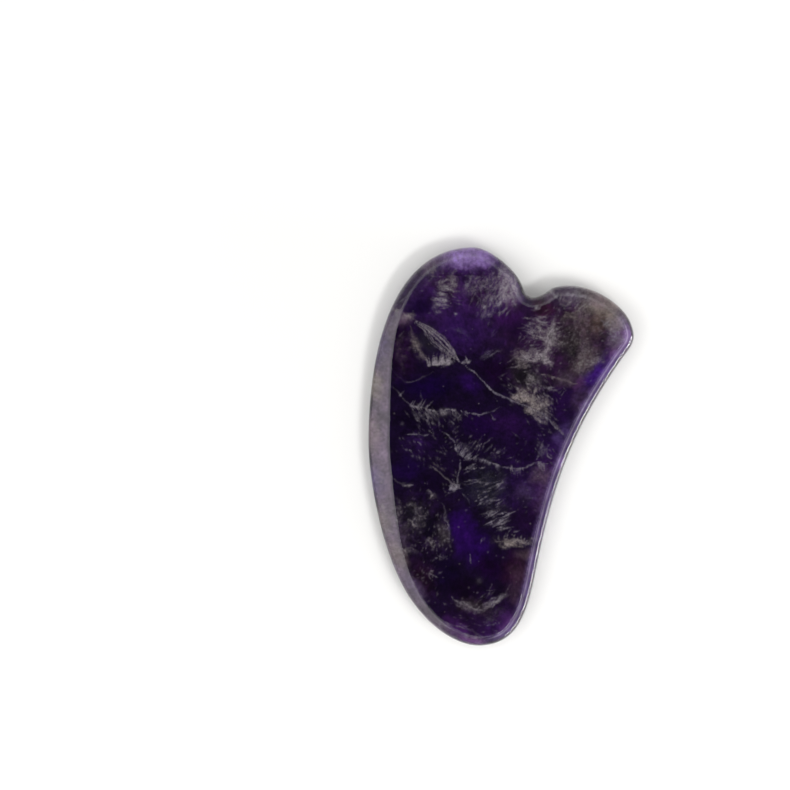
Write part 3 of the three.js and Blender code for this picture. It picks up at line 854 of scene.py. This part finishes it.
def wing_veils(stone):
    """The cloudy wing: brushed milk on its inner side, smoke towards its tip."""
    stone.needles([(6.6, 28.3), (7.5, 28.6)], 80, 1.3, 8, 0.17, 0.5, 20, 0.3, seed=36)
    stone.thread([(10, 32), (11, 31.3), (12, 30), (13, 28.5)], 0.2, 0.5, 0.3)
    stone.needles([(10.5, 31.8), (12.5, 30)], 45, 1.5, 10, 0.16, 0.4, 12, 0.2, seed=37)
    stone.cloud(16, 31.4, 4.2, 1.8, -5, 0.45, 0.3, fine=0.9, seed=38)
    for line in (
            [(15.5, 28), (17.8, 29.8)], [(16.5, 28), (18.8, 30)], [(14.8, 28.6), (16.4, 30)],
            [(3, 24.5), (5.4, 24.4), (8, 23.5)], [(6, 26), (8.6, 26.8), (11, 27)],
            [(1, 17.3), (3, 18.5), (5, 17.5)], [(6.6, 22.4), (9, 22), (10.6, 21)],
            [(5.6, 20.8), (8, 21.2)]):
        stone.thread(line, 0.24, 0.45, 0.4)
    stone.cloud(21.5, 28, 4.8, 2.8, -35, 0.25, 0.9, fine=1.4, contrast=0.3, seed=39)
    stone.cloud(16, 23, 4.6, 4, 0, 0.16, 0.7, fine=0.9, contrast=0.7, seed=40)
    stone.strokes(7.6, 25.6, 3.4, 1.8, 0, -10, 3.2, 18, 0.42, 0.14, 0.4, 10, seed=64)
    stone.cloud(8.6, 23.4, 3.4, 3.4, 20, 0.7, 0.5, grain=-15, fine=0.8, seed=41)
    stone.cloud(10.8, 24, 1.1, 3.4, -8, 1, 0.5, grain=70, fine=0.8, seed=42)
    stone.cloud(7.4, 18.2, 3.2, 1.6, -4, 1.4, 0.5, fine=0.8, contrast=0.4, seed=43)
    stone.cloud(9.4, 19.8, 1.4, 2.2, 0, 0.9, 0.5, fine=0.7, contrast=0.3, seed=49)
    stone.cloud(16.2, 27.2, 4, 2, 20, 0.4, 0.9, fine=1, seed=50)
    stone.cloud(15.5, 19.5, 4, 4, 0, 0.18, 0.8, fine=0.8, seed=52)
    stone.cloud(4, 18.3, 2.4, 1.8, 0, 0.42, 0.8, grain=20, fine=0.7, seed=44)
    stone.cloud(10, 21.6, 2.2, 1.2, -40, 0.5, 0.6, grain=-40, fine=0.8, seed=45)
    stone.cloud(16.8, 17, 4, 2.4, 42, 0.4, 0.6, fine=0.9, seed=46)
    stone.cloud(24, 24, 2.4, 3.6, -20, 0.5, 0.2, fine=1.2, contrast=0.3, seed=47)
    stone.cloud(13.5, 29.5, 1.8, 1.2, 0, 0.3, 0.7, seed=48)


# Faint grain: place, half length and half width of an oval, how far it is turned, which way
# its strokes lean, their length and number, and how bright they are
GRAIN = (
    (-17, 0, 6, 4, 0, -55, 0.9, 34, 0.26), (-12.5, -3, 4, 3, 0, -50, 0.9, 18, 0.26),
    (-9.5, 2.5, 4, 3, -50, 50, 1, 26, 0.28), (-6, -0.2, 3.5, 2.5, 0, 45, 1.3, 22, 0.36),
    (-1, -1.5, 4, 1.8, -10, 50, 1.1, 16, 0.3), (4.5, -1.5, 4, 2.5, 0, 60, 0.8, 12, 0.16),
    (-15, 6, 5, 2.5, -20, -60, 1.5, 30, 0.32), (-8, 6.5, 5, 1.2, 0, -65, 1, 22, 0.3),
    (3, 11.5, 5, 3, -20, -40, 1.2, 40, 0.34), (8, 13, 4, 3, 0, -60, 1.2, 40, 0.34),
    (9.5, 8.5, 3, 2.5, 0, -45, 1.1, 30, 0.34), (9, 2, 3.5, 4, -30, -45, 1.2, 26, 0.3),
    (5, 18, 4, 2.4, 0, 20, 1.4, 40, 0.4), (8.5, 22.5, 4, 4, 0, 35, 2.2, 60, 0.42),
    (13.5, 22, 4, 6, 0, 55, 1, 60, 0.26), (17, 17, 5, 3, 42, 45, 0.9, 50, 0.28),
    (17.5, 24.5, 6, 4, 0, 10, 0.9, 60, 0.26), (16, 30.5, 5, 2.6, 0, 42, 1.4, 40, 0.34),
    (12.5, 29.5, 2.5, 2.5, 0, 45, 1.2, 20, 0.3), (0.8, 33, 2, 4.2, 15, 62, 2.4, 36, 0.5),
    (-3.5, 31.5, 3.8, 4.5, 0, 60, 1.6, 50, 0.38), (-12, 31.5, 2.8, 4, 0, -8, 1.8, 30, 0.42),
    (-11, 35.5, 4, 2, 10, 25, 1, 26, 0.34), (-14.5, 37, 4, 1.8, 32, 30, 1, 20, 0.16),
    (-17.5, -14, 3.6, 4.5, 0, 70, 0.8, 50, 0.26), (-12.5, -17, 2, 4.5, 0, 80, 0.9, 34, 0.36),
    (-14.5, -21, 4, 2.5, 0, 60, 0.8, 30, 0.3), (-10, -8, 3, 2, 0, -50, 1, 18, 0.28),
    (5.5, -8, 4, 6, 0, 30, 0.8, 20, 0.12), (2.5, -19.6, 5, 1.2, -3, 70, 0.9, 40, 0.5),
    (-2, -32, 4, 1.6, 25, 40, 1.6, 36, 0.34), (-7.5, -32.8, 4, 1.2, -15, -30, 1.4, 30, 0.36),
    (-6, -37, 7, 2.6, 0, -20, 1.2, 40, 0.2), (-15.5, -26, 4, 4, 30, 60, 0.8, 40, 0.2))


def faint_strokes(stone):
    """Grain that fills the stone between its veils, too faint to see as lines."""
    for x, y, along, across, turn, lean, length, count, strength in GRAIN:
        stone.strokes(x, y, along, across, turn, lean, length * 1.5, count, strength * 0.5, 0.13,
            0.4, 14, seed=int(200 + 3 * x + y))


def fine_dust(stone):
    """Bright grains, too small to have a place of their own."""
    stone.dust(260, 51)


# Everything drawn on the heart, the stone's own colours and veils and the painted light and shade
# along its edges, from what lies under to what lies over
CONTENTS = (colour_zones, marbling, painted_edge_light, lobe_veils, strand_bundle, great_fracture,
            second_veil, ragged_line, feather_strokes, lower_left_curls, tail_veils, wing_veils,
            faint_strokes, fine_dust)


def hold_inside(piece):
    """Work out the stone's colours and hold them at the points of a piece."""
    mesh = piece.data
    places = np.array([v.co for v in mesh.vertices]) / MM
    stone = Inside(places)
    for draw in CONTENTS:
        draw(stone)
    rgba = np.concatenate([stone.ground, np.ones((len(places), 1))], axis=1)
    mesh.attributes.new("ground", "FLOAT_COLOR", "POINT").data.foreach_set("color", rgba.ravel())
    mesh.attributes.new("milk", "FLOAT", "POINT").data.foreach_set("value", stone.milk)
    mesh.attributes.new("warmth", "FLOAT", "POINT").data.foreach_set("value", stone.warmth)


# ---- Materials ----

QUARTZ_IOR = 1.54
TABLE_COLOUR = (0.91, 0.905, 0.89)


def new_material(name):
    """A new material, with its shader."""
    material = bpy.data.materials.new(name)
    material.use_nodes = True
    return material, material.node_tree.nodes["Principled BSDF"]


def clear_stone():
    """The polished surface: clear, and as glossy as quartz takes it."""
    material, shader = new_material("polished_clear_amethyst")
    shader.inputs["Base Color"].default_value = (0.93, 0.9, 0.96, 1)
    shader.inputs["Roughness"].default_value = 0.02
    shader.inputs["IOR"].default_value = QUARTZ_IOR
    shader.inputs["Transmission Weight"].default_value = 1.0
    return material


def heart_stone():
    """Amethyst from the colours and the milk held at the heart's points, with fine
    clouding added all through it."""
    material, shader = new_material("amethyst_heart")
    nodes, links = material.node_tree.nodes, material.node_tree.links
    shader.inputs["Roughness"].default_value = 0.6
    shader.inputs["Specular IOR Level"].default_value = 0.0
    place = nodes.new("ShaderNodeTexCoord").outputs["Object"]

    def held(name, output):
        node = nodes.new("ShaderNodeAttribute")
        node.attribute_name = name
        return node.outputs[output]

    def clouding(scale, detail, low, high):
        noise = nodes.new("ShaderNodeTexNoise")
        noise.inputs["Scale"].default_value = scale
        noise.inputs["Detail"].default_value = detail
        noise.inputs["Roughness"].default_value = 0.62
        links.new(place, noise.inputs["Vector"])
        span = nodes.new("ShaderNodeMapRange")
        span.inputs["From Min"].default_value = 0.3
        span.inputs["From Max"].default_value = 0.7
        span.inputs["To Min"].default_value = low
        span.inputs["To Max"].default_value = high
        links.new(noise.outputs["Fac"], span.inputs["Value"])
        return span.outputs["Result"]

    def times(a, b):
        node = nodes.new("ShaderNodeMath")
        node.operation = "MULTIPLY"
        node.use_clamp = True
        links.new(a, node.inputs[0])
        links.new(b, node.inputs[1])
        return node.outputs["Value"]

    def blend(amount, first, second):
        node = nodes.new("ShaderNodeMix")
        node.data_type = "RGBA"
        links.new(amount, node.inputs[0])
        for socket, colour in ((node.inputs[6], first), (node.inputs[7], second)):
            if isinstance(colour, bpy.types.NodeSocket):
                links.new(colour, socket)
            else:
                socket.default_value = (*colour, 1)
        return node.outputs[2]

    def scaled(colour, amount):
        node = nodes.new("ShaderNodeVectorMath")
        node.operation = "SCALE"
        links.new(colour, node.inputs[0])
        links.new(amount, node.inputs["Scale"])
        return node.outputs["Vector"]

    ground = scaled(scaled(held("ground", "Color"), clouding(420, 6, 0.62, 1.38)),
                    clouding(1700, 4, 0.75, 1.25))
    milk = times(held("milk", "Fac"), clouding(2200, 5, 0.4, 1.5))
    milk_colour = blend(held("warmth", "Fac"), COOL_MILK, WARM_MILK)
    links.new(blend(milk, ground, milk_colour), shader.inputs["Base Color"])
    return material


# ---- Table, light and camera: metres ----

TABLE_REACH = 6.0
TABLE_GAP = 0.05         # millimetres that the table lies below the board
# Brightness of the surround, from level (0) to straight overhead (1): a bright ring high up,
# which the rounded creases mirror, and a dim patch over it, which the face mirrors
SKY_LEVEL, SKY_TOP = 0.8, 0.03
SKY = ((0.45, 0.6), (0.54, 0.38), (0.68, 0.38), (0.76, 1.2), (0.92, 1.2), (0.97, 0.06))
# Name, place, width and height, and watts. They all face the board.
LIGHTS = (("window_left", (-0.5, -0.16, 0.45), (0.9, 0.45), 1.6),
          ("window_right", (0.615, -0.338, 0.054), (0.75, 0.1), 8.0),
          ("lamp_front", (0.3, -0.3, 0.6), (0.3, 0.12), 1.7))
EYE_HEIGHT = 0.43        # above the middle of the board
EYE_PLACE = (-22.1, 10.7)   # millimetres, so that the board lies to the right and low
SEEN_ACROSS = 0.1647     # how much of the board's plane the camera takes in


def pale_table():
    """A plain pale table just under the board."""
    mesh = bpy.data.meshes.new("table")
    corners = [(x * TABLE_REACH, y * TABLE_REACH) for x, y in ((-1, -1), (1, -1), (1, 1), (-1, 1))]
    mesh.from_pydata([(x, y, (LOW[2] - TABLE_GAP) * MM) for x, y in corners], [], [(0, 1, 2, 3)])
    table = bpy.data.objects.new("table", mesh)
    bpy.context.collection.objects.link(table)
    material, shader = new_material("pale_table")
    shader.inputs["Base Color"].default_value = (*TABLE_COLOUR, 1)
    shader.inputs["Roughness"].default_value = 0.7
    mesh.materials.append(material)


def studio_sky():
    """A soft surround, bright to the sides and dim straight overhead."""
    world = bpy.data.worlds.new("studio")
    bpy.context.scene.world = world
    world.use_nodes = True
    nodes, links = world.node_tree.nodes, world.node_tree.links
    background = nodes["Background"]
    place = nodes.new("ShaderNodeTexCoord")
    split = nodes.new("ShaderNodeSeparateXYZ")
    ramp = nodes.new("ShaderNodeValToRGB")
    links.new(place.outputs["Generated"], split.inputs["Vector"])
    links.new(split.outputs["Z"], ramp.inputs["Fac"])
    links.new(ramp.outputs["Color"], background.inputs["Color"])
    stops = ramp.color_ramp.elements
    stops[0].position, stops[0].color = 0.0, (SKY_LEVEL, SKY_LEVEL, SKY_LEVEL, 1)
    stops[1].position, stops[1].color = 1.0, (SKY_TOP, SKY_TOP, SKY_TOP, 1)
    for height, level in SKY:
        stops.new(height).color = (level, level, level, 1)
    background.inputs["Strength"].default_value = 1.0


def soft_light(name, place, size, power):
    """A light panel turned towards the board."""
    light = bpy.data.lights.new(name, "AREA")
    light.shape = "RECTANGLE"
    light.size, light.size_y = size
    light.energy = power
    lamp = bpy.data.objects.new(name, light)
    lamp.location = place
    lamp.rotation_euler = Vector(place).to_track_quat("Z", "Y").to_euler()
    bpy.context.collection.objects.link(lamp)


def camera_above():
    """A camera that looks straight down at the board."""
    camera = bpy.data.cameras.new("camera")
    camera.sensor_width = 36.0
    camera.lens = camera.sensor_width * EYE_HEIGHT / SEEN_ACROSS
    eye = bpy.data.objects.new("camera", camera)
    eye.location = (EYE_PLACE[0] * MM, EYE_PLACE[1] * MM, EYE_HEIGHT + MIDDLE * MM)
    bpy.context.collection.objects.link(eye)
    bpy.context.scene.camera = eye


# ---- Making the board ----

pale_table()
studio_sky()
for name, place, size, power in LIGHTS:
    soft_light(name, place, size, power)
camera_above()
bpy.context.scene.view_settings.view_transform = "Standard"

heart = new_piece("amethyst_heart", *board_surface(SKIN, HEART_STEP, UNDER_STEP))
hold_inside(heart)
heart.data.materials.append(heart_stone())
skin = new_piece("polished_board", *board_surface(0.0, None, None))
skin.data.materials.append(clear_stone())
for piece in (heart, skin):
    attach(piece, "root")
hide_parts(BOARD)
